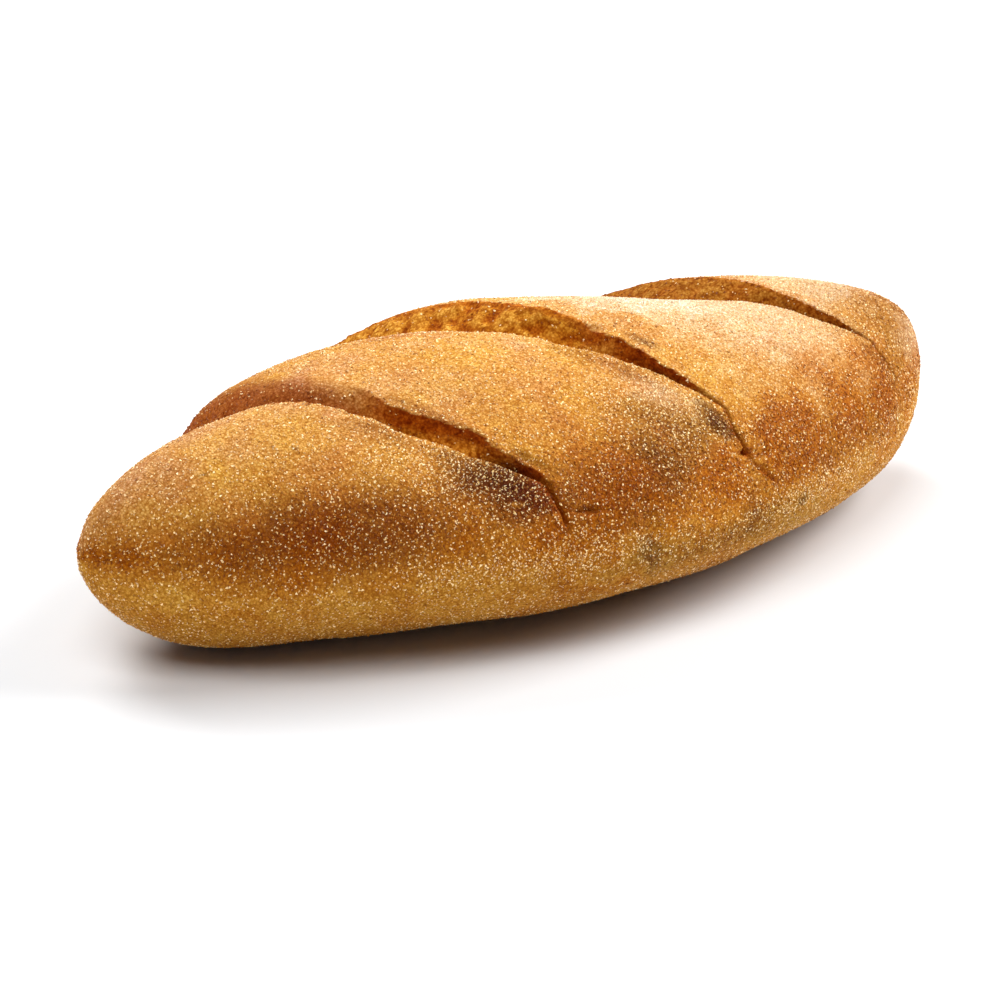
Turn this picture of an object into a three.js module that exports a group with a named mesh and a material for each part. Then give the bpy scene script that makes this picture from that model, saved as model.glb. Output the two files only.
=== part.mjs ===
// A small hand-shaped bread loaf with three slanting cuts across its top, as one closed solid.
// Millimetres, +Z up. The loaf lies along X on the plane z = 0, and the origin is under its middle.
// The front flank faces -Y. The cuts run from behind (+Y) at low X to the front (-Y) at higher X.

import * as THREE from "three";

// ---- Driving dimensions ----

const LENGTH = 180; // tip to tip
const WIDTH = 87.6; // across the middle
const HEIGHT = 45.5; // from the baking sheet to the crest of the middle
const SETTLE = 1.2; // how far the soft underside sank flat onto the baking sheet

// The shape before the underside settled, measured from its lowest line.
const CREST = HEIGHT + SETTLE;
const TIP_LOW_X = 21.8; // height of the tip at -X
const TIP_HIGH_X = 22.3; // height of the tip at +X
const BELLY = 0.43; // the widest level, as a share of the section's height

// Each line from tip to tip follows (1 - |s|^swell)^taper, where s runs from -1 to 1.
const PLAN = { swell: 1.72, taper: 0.71 };
const TOP = { swell: 1.85, taper: 0.42 };
const UNDERSIDE = { swell: 7.0, taper: 0.71 };

// The section is a superellipse: 2 is an ellipse, and more is fuller at its corners.
const UPPER_FULLNESS = 1.82;
const LOWER_FULLNESS = 2.01;
const TUCK = { at: -0.62, spread: 0.24, by: 0.42 }; // the flanks tuck under near the -X tip

// Girth is the distance round the section from the crest line, positive down the front flank.
const GIRTH_RADIUS = 38;
const CUT_STRAIGHT = 60; // girth up to which the rows keep the cuts' slant

// A cut: where it crosses the crest line, its run along X for each mm of girth, and its ends in
// girth. It opens to one width behind and another in front, and narrows to a slit between two
// girths. Its depth closes between two more, and a crack goes on from its front end. The dough
// before it drops away over a reach, by amounts that change between two girths. Its far wall is a
// rolled shoulder behind, which starts further out, and a torn hollow in front.
const CUTS = [
  {
    crossing: -50.6,
    lean: { front: 0.84, behind: 0.05, crack: [-0.05, 0.38] },
    end: { behind: -54, front: 40, crack: 56 },
    opening: { behind: 3.5, front: 5.0, slit: 1, narrows: [24, 42] },
    depth: { most: 4.4, closes: [34, 43], crack: 1.4 },
    drop: { front: 0.5, behind: 4.0, turns: [-22, 8], reach: 32 },
    wall: { roll: 2.4, out: 4.0, hollow: 1.5, turns: [3, 20] },
    lift: 0.2,
  },
  {
    crossing: -4.0,
    lean: { front: 0.7, behind: 0.48, crack: [-0.25, 0.75] },
    end: { behind: -44, front: 34, crack: 56 },
    opening: { behind: 12, front: 12, slit: 1, narrows: [-10, 27] },
    depth: { most: 5.6, closes: [18, 36], crack: 1.0 },
    drop: { front: 1.1, behind: 1.4, turns: [-14, 14], reach: 30 },
    wall: { roll: 1.35, out: 0, hollow: 1.9, turns: [4, 18] },
    lift: 0.6,
  },
  {
    crossing: 45.8,
    lean: { front: 0.78, behind: 0.2, crack: [0.2, 0.4] },
    end: { behind: -40, front: 29, crack: 50 },
    opening: { behind: 7.2, front: 7.2, slit: 1, narrows: [-8, 23] },
    depth: { most: 4.6, closes: [16, 30], crack: 0.7 },
    drop: { front: 1.3, behind: 5.0, turns: [-14, 14], reach: 42 },
    wall: { roll: 1.35, out: 0, hollow: 1.3, turns: [4, 20] },
    lift: 0,
  },
];
const BEGIN_LENGTH = 14; // girth over which a cut deepens from its end behind
const OPENING_TURNS = [14, 25]; // girths between which the opening changes its width
const CRACK_HALF = 0.5;
const LEAN_TURN = 9; // girth over which a cut bends from one slant to the other at the crest
const DROP_CURVE = 1.9; // over 1 rounds the dough off towards the cut
const FLOOR_PLACE = -0.45; // the deepest line, from the middle of the opening to the near edge
const LIFT_FADE = 7; // distance over which the lifted edge settles

// Low unevenness of the dough: height, waves from tip to tip, and waves round the section.
const WAVES = [
  { height: 0.28, along: 2.5, round: 2, phase: 0.6 },
  { height: 0.18, along: 5.5, round: 3, phase: 2.1 },
];

// Rows of points run round the loaf: the steps between them on each lobe, and on each far wall.
const STEPS_ON_LOBE = [17, 13, 13, 13];
const STEPS_ON_WALL = 4;
const TIP_CROWDING = 1.7; // over 1 draws the rows of an end lobe together at its tip
const POINTS_ROUND = 72;

// ---- The smooth loaf ----

function smoothStep(from, to, value) {
  const t = THREE.MathUtils.clamp((value - from) / (to - from), 0, 1);
  return t * t * (3 - 2 * t);
}

function tipToTip(line, s) {
  return Math.max(1 - Math.abs(s) ** line.swell, 0) ** line.taper;
}

function signedPower(value, power) {
  return Math.sign(value) * Math.abs(value) ** power;
}

// A point of the loaf before it is cut; the angle is 0 at the crest and grows towards the front.
function smoothPoint(x, angle) {
  const s = THREE.MathUtils.clamp(x / (LENGTH / 2), -1, 1);
  const tip = THREE.MathUtils.lerp(TIP_LOW_X, TIP_HIGH_X, (s + 1) / 2);
  const top = tip + (CREST - tip) * tipToTip(TOP, s);
  const bottom = tip * (1 - tipToTip(UNDERSIDE, s));
  const belly = bottom + BELLY * (top - bottom);
  const tuck = TUCK.by * Math.exp(-(((s - TUCK.at) / TUCK.spread) ** 2));
  const isUpper = Math.cos(angle) > 0;
  const fullness = isUpper ? UPPER_FULLNESS : LOWER_FULLNESS - tuck;
  const rise = isUpper ? top - belly : belly - bottom;
  const y = (-WIDTH / 2) * tipToTip(PLAN, s) * signedPower(Math.sin(angle), 2 / fullness);
  const z = belly + rise * signedPower(Math.cos(angle), 2 / fullness);
  return new THREE.Vector3(x, y, z);
}

// The direction straight out of the smooth loaf.
function outward(x, angle) {
  const inset = LENGTH / 2 - 0.1;
  const dx = 0.05;
  const da = 0.01;
  const at = THREE.MathUtils.clamp(x, -inset, inset);
  const along = smoothPoint(at + dx, angle).sub(smoothPoint(at - dx, angle));
  const round = smoothPoint(at, angle + da).sub(smoothPoint(at, angle - da));
  return round.cross(along).normalize();
}

// ---- The cuts ----

// The middle line of a cut: its x at a girth. Below the flanks it straightens and runs round.
function cutLine(cut, girth) {
  const reached = Math.min(girth, cut.end.front);
  const bend = LEAN_TURN * Math.log((1 + Math.exp(reached / LEAN_TURN)) / 2);
  const crackLength = cut.end.crack - cut.end.front;
  const crack = THREE.MathUtils.clamp(girth - cut.end.front, 0, crackLength);
  const [begin, finish] = cut.lean.crack;
  let offset = cut.lean.behind * reached + (cut.lean.front - cut.lean.behind) * bend;
  offset += begin * crack + ((finish - begin) * crack ** 2) / (2 * crackLength);
  const fade = 1 - smoothStep(CUT_STRAIGHT, Math.PI * GIRTH_RADIUS, Math.abs(girth));
  return cut.crossing + offset * fade;
}

// The cut's measures at a girth: its near edge, floor and far edge across it from its middle line,
// its depth, the drop before it, the lift beyond it, and how far its far wall has turned hollow.
function cutSection(cut, girth) {
  const { opening, end, depth, drop, wall } = cut;
  const begins = smoothStep(end.behind, end.behind + BEGIN_LENGTH, girth);
  const narrows = 1 - smoothStep(...opening.narrows, girth);
  const closes = 1 - smoothStep(...depth.closes, girth);
  const cracks = 1 - smoothStep(end.front, end.crack, girth);
  const turned = smoothStep(...wall.turns, girth);
  const widens = smoothStep(...OPENING_TURNS, girth);
  const wide = THREE.MathUtils.lerp(opening.behind, opening.front, widens);
  const open = (opening.slit + (wide - opening.slit) * begins * narrows) / 2;
  const half = open - (opening.slit / 2 - CRACK_HALF) * (1 - closes);
  const dropped = THREE.MathUtils.lerp(drop.behind, drop.front, smoothStep(...drop.turns, girth));
  return {
    near: -half,
    floor: FLOOR_PLACE * half,
    far: half + wall.out * (1 - turned),
    depth: begins * Math.max(depth.most * closes, depth.crack * cracks),
    drop: begins * closes * dropped,
    lift: begins * closes * cut.lift,
    turned,
  };
}

// How much longer a step along X is than the same step straight across the cut.
function slant(cut) {
  return Math.hypot(1, cut.lean.front);
}

// How far one cut moves the surface out at a point.
function cutHeight(cut, x, girth) {
  const { near, floor, far, depth, drop, lift, turned } = cutSection(cut, girth);
  const across = (x - cutLine(cut, girth)) / slant(cut);
  if (across <= near) {
    const ramp = Math.max((across + cut.drop.reach) / (cut.drop.reach + near), 0);
    return -drop * ramp ** DROP_CURVE;
  }
  if (across <= floor) return -drop - (depth - drop) * smoothStep(near, floor, across);
  if (across <= far) {
    const up = (across - floor) / (far - floor);
    const rolled = 1 - (1 - up) ** cut.wall.roll;
    const hollow = up ** cut.wall.hollow;
    return (depth + lift) * THREE.MathUtils.lerp(rolled, hollow, turned) - depth;
  }
  return lift * Math.exp((far - across) / LIFT_FADE);
}

function waveHeight(x, angle) {
  const s = x / LENGTH;
  let height = 0;
  for (const wave of WAVES) {
    const along = Math.sin(2 * Math.PI * wave.along * s + wave.phase);
    height += wave.height * along * Math.cos(wave.round * angle + wave.phase) * (1 - (2 * s) ** 2);
  }
  return height;
}

function loafPoint(x, angle) {
  const girth = GIRTH_RADIUS * angle;
  let height = waveHeight(x, angle);
  for (const cut of CUTS) height += cutHeight(cut, x, girth);
  const point = smoothPoint(x, angle).addScaledVector(outward(x, angle), height);
  point.z = Math.max(point.z - SETTLE, 0);
  return point;
}

// ---- The mesh ----

// The x of every row at one girth, so that rows lie along both edges and the floor of each cut.
function rowPlaces(girth) {
  const places = [];
  let from = -LENGTH / 2;
  const lobes = CUTS.length + 1;
  for (let lobe = 0; lobe < lobes; lobe++) {
    const cut = CUTS[lobe];
    const section = cut && cutSection(cut, girth);
    const placeOf = (across) => cutLine(cut, girth) + across * slant(cut);
    const to = cut ? placeOf(section.near) : LENGTH / 2;
    const steps = STEPS_ON_LOBE[lobe];
    for (let step = 1; step < steps; step++) {
      let share = step / steps;
      if (lobe === 0) share = share ** TIP_CROWDING;
      if (lobe === lobes - 1) share = 1 - (1 - share) ** TIP_CROWDING;
      places.push(THREE.MathUtils.lerp(from, to, share));
    }
    if (!cut) break;
    places.push(to);
    for (let step = 0; step <= STEPS_ON_WALL; step++) {
      const across = THREE.MathUtils.lerp(section.floor, section.far, step / STEPS_ON_WALL);
      places.push(placeOf(across));
    }
    from = placeOf(section.far);
  }
  return places;
}

function loafGeometry() {
  const positions = [];
  for (let j = 0; j < POINTS_ROUND; j++) {
    const angle = -Math.PI + (2 * Math.PI * j) / POINTS_ROUND;
    for (const x of rowPlaces(GIRTH_RADIUS * angle)) positions.push(...loafPoint(x, angle));
  }
  const rows = positions.length / 3 / POINTS_ROUND;
  const tips = [-LENGTH / 2, LENGTH / 2].map((x) => {
    positions.push(...loafPoint(x, 0));
    return positions.length / 3 - 1;
  });

  const faces = [];
  for (let j = 0; j < POINTS_ROUND; j++) {
    const here = j * rows;
    const next = ((j + 1) % POINTS_ROUND) * rows;
    faces.push(tips[0], next, here);
    faces.push(tips[1], here + rows - 1, next + rows - 1);
    for (let i = 0; i + 1 < rows; i++) {
      faces.push(here + i, next + i, next + i + 1);
      faces.push(here + i, next + i + 1, here + i + 1);
    }
  }
  const geometry = new THREE.BufferGeometry();
  geometry.setAttribute("position", new THREE.Float32BufferAttribute(positions, 3));
  geometry.setIndex(faces);
  geometry.computeVertexNormals();
  return geometry;
}

// ---- The part ----

const crust = new THREE.MeshStandardMaterial({ color: 0xb87a34, roughness: 0.8, metalness: 0 });

const loaf = new THREE.Mesh(loafGeometry(), crust);
loaf.name = "loaf";

const group = new THREE.Group();
group.add(loaf);

export default group;
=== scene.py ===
"""A small bread loaf with three slanting cuts, dusted all over with coarse semolina.

Everything is in metres, +Z up. The loaf lies along X on the plane z = 0 and its front flank
faces -Y. A place on the loaf is given by x and by its girth: the distance round the section
from the crest line, positive down the front flank.
"""

import itertools
import logging
import math
from dataclasses import dataclass, field
from enum import Enum, IntEnum

import bpy
import numpy as np
from mathutils import Matrix, Vector


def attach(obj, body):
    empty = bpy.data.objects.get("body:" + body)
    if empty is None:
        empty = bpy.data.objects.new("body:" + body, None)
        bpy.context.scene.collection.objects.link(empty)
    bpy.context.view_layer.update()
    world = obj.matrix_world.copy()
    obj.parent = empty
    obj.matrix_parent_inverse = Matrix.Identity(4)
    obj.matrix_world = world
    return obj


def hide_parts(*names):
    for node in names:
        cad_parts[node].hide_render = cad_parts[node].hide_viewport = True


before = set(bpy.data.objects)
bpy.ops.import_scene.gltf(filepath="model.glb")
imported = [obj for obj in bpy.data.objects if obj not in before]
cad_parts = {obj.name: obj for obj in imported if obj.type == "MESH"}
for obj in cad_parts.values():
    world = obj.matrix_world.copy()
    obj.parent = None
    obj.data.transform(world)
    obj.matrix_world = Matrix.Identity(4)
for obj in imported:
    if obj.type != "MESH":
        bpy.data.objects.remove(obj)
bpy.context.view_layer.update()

BODY = "root"
NODE = "loaf"

MM = 0.001
Array = np.ndarray
Colour = tuple[float, float, float]

log = logging.getLogger("loaf")


# ---- Small mathematics ----


def smooth_step(low: float, high: float, value: Array) -> Array:
    """Rises smoothly from 0 at low to 1 at high.

    Args:
        low: the value at which it starts.
        high: the value at which it ends.
        value: where it is read.

    Returns:
        Numbers from 0 to 1, one for each value.
    """
    share = np.clip((value - low) / (high - low), 0, 1)
    return share * share * (3 - 2 * share)


def signed_power(value: Array, power: Array | float) -> Array:
    """The power of the size of a number, with the number's sign."""
    return np.sign(value) * np.abs(value) ** power


class Draw(IntEnum):
    """The seeds of the noises, one for each use, to which a cut adds its own seed."""

    KINK = 0
    SWELL = 41
    PEBBLE = 42
    CLUMP = 43
    SHRED = 44
    DENT_EDGE = 45
    FINE_KINK = 50
    BROAD = 60
    PATCHY = 61
    MOTTLED = 62
    COVER = 80
    NEAR_LIP = 100
    FAR_LIP = 200


# Large numbers that scramble a lattice cell's place and a seed into a random number.
PLACE_FACTORS = (73856093, 19349663, 83492791)
SEED_FACTOR = 2654435761
MIXING_FACTOR = 1274126177
LOW_31_BITS = 0x7FFFFFFF

# How far a seed shifts the lattice, in cells.
SEED_SHIFT = 0.37


def lattice_noise(points: Array, size: float, seed: int) -> Array:
    """Smooth random numbers from -1 to 1, the same each time for one seed.

    Args:
        points: places, with x, y and z in the last axis.
        size: about how far apart a high and the next low lie.
        seed: picks one noise out of many.

    Returns:
        One number for each point.
    """
    scaled = points / size + SEED_SHIFT * seed
    cell = np.floor(scaled).astype(np.int64)
    ease = scaled - cell
    ease = ease * ease * (3 - 2 * ease)
    total = np.zeros(points.shape[:-1])
    for corner in itertools.product((0, 1), repeat=3):
        at = cell + np.array(corner)
        x, y, z = (at[..., axis] * factor for axis, factor in enumerate(PLACE_FACTORS))
        code = (x ^ y ^ z ^ (seed + 1) * SEED_FACTOR) & LOW_31_BITS
        code = (code ^ code >> 13) * MIXING_FACTOR & LOW_31_BITS
        value = ((code ^ code >> 15) & 0xFFFF) / 0x7FFF - 1
        weight = np.where(np.array(corner) == 1, ease, 1 - ease).prod(axis=-1)
        total += value * weight
    return total


# Each finer layer of a layered noise: how much its seed differs and how much weaker it is, and
# what brings the sum of the layers back to about -1 to 1.
LAYER_SEEDS = 7
LAYER_FADE = 1.7
LAYER_SUM = 1.25


def layered_noise(points: Array, size: float, seed: int, layers: int = 3) -> Array:
    """Lattice noise with finer and weaker noise laid over it.

    Args:
        points: places, with x, y and z in the last axis.
        size: the size of the coarsest layer.
        seed: picks one noise out of many.
        layers: how many noises are added, each half the size of the last.

    Returns:
        One number for each point, mostly from -1 to 1.
    """
    total = np.zeros(points.shape[:-1])
    for layer in range(layers):
        noise = lattice_noise(points, size / 2**layer, seed + LAYER_SEEDS * layer)
        total += noise / LAYER_FADE**layer
    return total / LAYER_SUM


def noise_along(distance: Array, size: float, seed: int) -> Array:
    """Layered noise that changes along one distance only."""
    points = np.stack([distance, 0 * distance, 0 * distance], axis=-1)
    return layered_noise(points, size, seed)


def linear(red: int, green: int, blue: int) -> Colour:
    """A screen colour, 0 to 255, as the linear colour that a shader takes."""
    screen = np.array([red, green, blue]) / 255
    return tuple(float(value) for value in ((screen + 0.055) / 1.055) ** 2.4)


# ---- The form of the loaf, with the same sizes as its solid ----


@dataclass(frozen=True)
class TipLine:
    """A line from tip to tip that follows (1 - |s| ** swell) ** taper."""

    swell: float
    taper: float

    def at(self, s: Array) -> Array:
        """Its height, from 0 at the tips to 1 in the middle, where s runs from -1 to 1."""
        return np.maximum(1 - np.abs(s) ** self.swell, 0) ** self.taper


@dataclass(frozen=True)
class LoafForm:
    """The smooth loaf before it is cut."""

    length: float = 180 * MM
    width: float = 87.6 * MM
    height: float = 45.5 * MM
    settle: float = 1.2 * MM
    tip_low_x: float = 21.8 * MM
    tip_high_x: float = 22.3 * MM
    belly: float = 0.43
    plan: TipLine = TipLine(1.72, 0.71)
    top: TipLine = TipLine(1.85, 0.42)
    underside: TipLine = TipLine(7.0, 0.71)
    upper_fullness: float = 1.82
    lower_fullness: float = 2.01
    tuck_at: float = -0.62
    tuck_spread: float = 0.24
    tuck_by: float = 0.42
    girth_radius: float = 38 * MM
    cut_straight: float = 60 * MM

    def point(self, x: Array, angle: Array) -> Array:
        """Where a place on the smooth loaf is.

        Args:
            x: the place along the loaf.
            angle: the place round the section, 0 at the crest and growing towards the front.

        Returns:
            The points, with x, y and z in the last axis.
        """
        s = np.clip(x / (self.length / 2), -1, 1)
        tip = self.tip_low_x + (self.tip_high_x - self.tip_low_x) * (s + 1) / 2
        top = tip + (self.height + self.settle - tip) * self.top.at(s)
        bottom = tip * (1 - self.underside.at(s))
        belly = bottom + self.belly * (top - bottom)
        tuck = self.tuck_by * np.exp(-(((s - self.tuck_at) / self.tuck_spread) ** 2))
        upper = np.cos(angle) > 0
        fullness = np.where(upper, self.upper_fullness, self.lower_fullness - tuck)
        rise = np.where(upper, top - belly, belly - bottom)
        y = -self.width / 2 * self.plan.at(s) * signed_power(np.sin(angle), 2 / fullness)
        z = belly + rise * signed_power(np.cos(angle), 2 / fullness)
        return np.stack([x + 0 * angle, y, z], axis=-1)

    def outward(self, x: Array, angle: Array) -> Array:
        """The direction straight out of the smooth loaf, at the same places as point."""
        inset = self.length / 2 - 0.1 * MM
        step = 0.05 * MM
        turn = 0.01
        at = np.clip(x, -inset, inset)
        along = self.point(at + step, angle) - self.point(at - step, angle)
        round_ = self.point(at, angle + turn) - self.point(at, angle - turn)
        out = np.cross(round_, along)
        return out / np.linalg.norm(out, axis=-1, keepdims=True)


@dataclass(frozen=True)
class Wave:
    """A low swell of the dough, with its waves from tip to tip and round the section."""

    height: float
    along: float
    around: int
    phase: float

    def at(self, s: Array, angle: Array) -> Array:
        """Its height, where s runs from -1 to 1 between the tips."""
        swell = np.sin(math.pi * self.along * s + self.phase)
        return self.height * swell * np.cos(self.around * angle + self.phase) * (1 - s**2)


@dataclass(frozen=True)
class Kink:
    """Small random bends of a cut: how far apart they are, and their share of its wander."""

    size: float
    share: float
    draw: Draw


KINKS = (Kink(9 * MM, 0.75, Draw.KINK), Kink(3.2 * MM, 0.55, Draw.FINE_KINK))


@dataclass(frozen=True)
class CutPlace:
    """Where points lie in a cut.

    Attributes:
        across: how far beyond the cut's middle line they are, measured straight across it.
        up: how far up the far wall they are, from its floor (0) to its lip (1).
        near: where the near lip is, measured as across is.
        open_: how much torn crumb shows there, from 0 to 1.
        seam: how much they are inside the cut or its crack, from 0 to 1.
    """

    across: Array
    up: Array
    near: Array
    open_: Array
    seam: Array


@dataclass(frozen=True)
class Cut:
    """A slanting cut that opened in the oven and runs on in a crack at its front end."""

    # Its middle line: x at the crest, how far it leans along X, and the girths of its ends.
    crossing: float
    lean_front: float
    lean_behind: float
    lean_crack: tuple[float, float]
    end_behind: float
    end_front: float
    end_crack: float
    # How wide it is, and the girths over which it narrows to a slit and closes to a crack.
    wide_behind: float
    wide_front: float
    slit: float
    narrows: tuple[float, float]
    closes: tuple[float, float]
    # How deep it is, how far the crust sinks before it, and how far it stands up beyond it.
    depth: float
    crack_depth: float
    drop_front: float
    drop_behind: float
    drop_turns: tuple[float, float]
    reach: float
    lift: float
    # Its far wall, which is a rolled shoulder behind and a torn hollow in front.
    turns: tuple[float, float]
    roll: float
    roll_out: float
    hollow: float
    # How the oven took it: crusted over behind, baked inside, scorched and given painted shade high
    # on the far wall and in its trench, a painted shadow under the far lip, and browned at the
    # crack.
    crusted: float
    trench: tuple[float, float]
    baked: float
    scorch_and_shade: tuple[float, float]
    torn: float
    browns: tuple[float, float]
    seed: int
    # What all the cuts have in common.
    crack_half: float = 0.35 * MM
    bare_depth: float = 1.3 * MM
    seam_depths: tuple[float, float] = (0.3 * MM, 0.8 * MM)
    begins_over: float = 14 * MM
    widens: tuple[float, float] = (14 * MM, 25 * MM)
    lean_turn: float = 9 * MM
    drop_curve: float = 1.9
    floor_place: float = -0.45
    lift_fade: float = 7 * MM
    wander: float = 0.5 * MM
    wander_starts_over: float = 10 * MM
    wander_ends_over: float = 4 * MM
    ragged_share: float = 0.35
    ragged_most: float = 0.6 * MM
    near_ragged: float = 2.4 * MM
    far_ragged: float = 3.1 * MM

    def line(self, girth: Array, form: LoafForm) -> Array:
        """The x of the cut's middle line at each girth."""
        reached = np.minimum(girth, self.end_front)
        bend = self.lean_turn * (np.logaddexp(0, reached / self.lean_turn) - math.log(2))
        crack_length = self.end_crack - self.end_front
        crack = np.clip(girth - self.end_front, 0, crack_length)
        begin, finish = self.lean_crack
        offset = self.lean_behind * reached + begin * crack
        offset += (finish - begin) * crack**2 / (2 * crack_length)
        offset += (self.lean_front - self.lean_behind) * bend
        around = math.pi * form.girth_radius
        fade = 1 - smooth_step(form.cut_straight, around, np.abs(girth))
        started = self.end_behind + self.wander_starts_over
        lively = smooth_step(self.end_behind, started, girth)
        lively *= 1 - smooth_step(self.end_crack, self.end_crack + self.wander_ends_over, girth)
        kinks = sum(
            kink.share * noise_along(girth, kink.size, self.seed + kink.draw) for kink in KINKS
        )
        return self.crossing + offset * fade + self.wander * kinks * lively

    def measures(self, girth: Array) -> tuple[Array, Array, Array, Array]:
        """Half its opening, its depth, the drop before it and the lift beyond it, at each girth."""
        begins = smooth_step(self.end_behind, self.end_behind + self.begins_over, girth)
        narrows = 1 - smooth_step(*self.narrows, girth)
        widens = smooth_step(*self.widens, girth)
        closes = 1 - smooth_step(*self.closes, girth)
        cracks = 1 - smooth_step(self.end_front, self.end_crack, girth)
        turn = smooth_step(*self.drop_turns, girth)
        wide = self.wide_behind + (self.wide_front - self.wide_behind) * widens
        half = (self.slit + (wide - self.slit) * begins * narrows) / 2
        half -= (self.slit / 2 - self.crack_half) * (1 - closes)
        depth = begins * np.maximum(self.depth * closes, self.crack_depth * cracks)
        drop = begins * closes * (self.drop_behind + (self.drop_front - self.drop_behind) * turn)
        return half, depth, drop, begins * closes * self.lift

    def turned(self, girth: Array) -> Array:
        """How far the far wall has turned from a rolled shoulder (0) to a torn hollow (1)."""
        return smooth_step(*self.turns, girth)

    def seam_share(self, girth: Array) -> Array:
        """How brown and bare the seam is, from 0 behind to 1 at its front end."""
        return smooth_step(*self.browns, girth)

    def slant(self) -> float:
        """How much longer a step along X is than the same step straight across the cut."""
        return math.hypot(1, self.lean_front)

    def edges(self, girth: Array) -> tuple[Array, Array, Array]:
        """The near lip, the floor and the far lip, measured across the cut from its middle."""
        half, depth, _, _ = self.measures(girth)
        room = np.minimum(half * self.ragged_share, self.ragged_most)
        room = room * np.minimum(depth / self.crack_depth, 1)
        near = -half + room * noise_along(girth, self.near_ragged, self.seed + Draw.NEAR_LIP)
        far = half + room * noise_along(girth, self.far_ragged, self.seed + Draw.FAR_LIP)
        far += self.roll_out * (1 - self.turned(girth))
        return near, self.floor_place * half, far

    def place(self, x: Array, girth: Array, form: LoafForm) -> CutPlace:
        """Where points lie in relation to the cut."""
        across = (x - self.line(girth, form)) / self.slant()
        near, floor, far = self.edges(girth)
        up = np.clip((across - floor) / (far - floor), 0, 1)
        inside = (across > near) & (across < far)
        _, depth, _, _ = self.measures(girth)
        bare = 1 - self.crusted * (1 - self.turned(girth))
        open_ = inside * smooth_step(self.bare_depth, 2 * self.bare_depth, depth)
        seam = inside * smooth_step(*self.seam_depths, depth)
        return CutPlace(across, up, near, open_ * bare, seam)

    def height(self, x: Array, girth: Array, form: LoafForm) -> Array:
        """How far the cut moves the surface out at each place."""
        _, depth, drop, lift = self.measures(girth)
        near, floor, far = self.edges(girth)
        across = (x - self.line(girth, form)) / self.slant()
        ramp = np.maximum((across + self.reach) / (self.reach + near), 0)
        before = -drop * ramp**self.drop_curve
        down = -drop - (depth - drop) * smooth_step(0, 1, (across - near) / (floor - near))
        up = np.clip((across - floor) / (far - floor), 0, 1)
        turned = self.turned(girth)
        rise = (1 - turned) * (1 - (1 - up) ** self.roll) + turned * up**self.hollow
        wall = (depth + lift) * rise - depth
        beyond = lift * np.exp(-np.maximum(across - far, 0) / self.lift_fade)
        places = [across <= near, across <= floor, across <= far]
        return np.select(places, [before, down, wall], beyond)


CUTS = (
    Cut(
        crossing=-50.6 * MM, lean_front=0.84, lean_behind=0.05, lean_crack=(-0.05, 0.38),
        end_behind=-54 * MM, end_front=40 * MM, end_crack=56 * MM,
        wide_behind=3.5 * MM, wide_front=5 * MM, slit=1 * MM,
        narrows=(24 * MM, 42 * MM), closes=(34 * MM, 43 * MM),
        depth=4.4 * MM, crack_depth=1.4 * MM, drop_front=0.5 * MM, drop_behind=4.0 * MM,
        drop_turns=(-22 * MM, 8 * MM), reach=32 * MM, lift=0.2 * MM,
        turns=(3 * MM, 20 * MM), roll=2.4, roll_out=4 * MM, hollow=1.5,
        crusted=0.95, trench=(26 * MM, 34 * MM), baked=0.2, scorch_and_shade=(0.6, 0.95), torn=0.6,
        browns=(41 * MM, 47 * MM), seed=3,
    ),
    Cut(
        crossing=-4 * MM, lean_front=0.7, lean_behind=0.48, lean_crack=(-0.25, 0.75),
        end_behind=-44 * MM, end_front=34 * MM, end_crack=56 * MM,
        wide_behind=12 * MM, wide_front=12 * MM, slit=1 * MM,
        narrows=(-10 * MM, 27 * MM), closes=(18 * MM, 36 * MM),
        depth=5.6 * MM, crack_depth=1 * MM, drop_front=1.1 * MM, drop_behind=1.4 * MM,
        drop_turns=(-14 * MM, 14 * MM), reach=30 * MM, lift=0.6 * MM,
        turns=(4 * MM, 18 * MM), roll=1.35, roll_out=0.0, hollow=1.9,
        crusted=0.0, trench=(9 * MM, 16 * MM), baked=0.1, scorch_and_shade=(0.6, 0.9), torn=1.0,
        browns=(37 * MM, 44 * MM), seed=11,
    ),
    Cut(
        crossing=45.8 * MM, lean_front=0.78, lean_behind=0.2, lean_crack=(0.2, 0.4),
        end_behind=-40 * MM, end_front=29 * MM, end_crack=50 * MM,
        wide_behind=7.2 * MM, wide_front=7.2 * MM, slit=1 * MM,
        narrows=(-8 * MM, 23 * MM), closes=(16 * MM, 30 * MM),
        depth=4.6 * MM, crack_depth=0.7 * MM, drop_front=1.3 * MM, drop_behind=5.0 * MM,
        drop_turns=(-14 * MM, 14 * MM), reach=42 * MM, lift=0.0,
        turns=(4 * MM, 20 * MM), roll=1.35, roll_out=0.0, hollow=1.3,
        crusted=0.0, trench=(20 * MM, 30 * MM), baked=0.8, scorch_and_shade=(0.3, 0.35), torn=0.5,
        browns=(40 * MM, 50 * MM), seed=23,
    ),
)

WAVES = (
    Wave(height=0.28 * MM, along=2.5, around=2, phase=0.6),
    Wave(height=0.18 * MM, along=5.5, around=3, phase=2.1),
)


# ---- Marks on the crust ----


# How far noise pushes a mark's edge about, and where its edge starts and ends to fade, both as
# shares of the mark's size.
EDGE_WARP = 0.36
EDGE_FADE = (0.15, 1.05)


@dataclass(frozen=True)
class Mark:
    """An uneven oval place on the crust, in x and girth."""

    x: float
    girth: float
    long: float
    wide: float
    turn: float

    def weight(self, x: Array, girth: Array, warp: Array) -> Array:
        """How much of the mark shows: 1 in its middle, and 0 outside its uneven edge."""
        dx, dg = x - self.x, girth - self.girth
        along = dx * math.cos(self.turn) + dg * math.sin(self.turn)
        across = dg * math.cos(self.turn) - dx * math.sin(self.turn)
        reach = np.hypot(along / self.long, across / self.wide) + EDGE_WARP * warp
        return 1 - smooth_step(*EDGE_FADE, reach)


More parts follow.
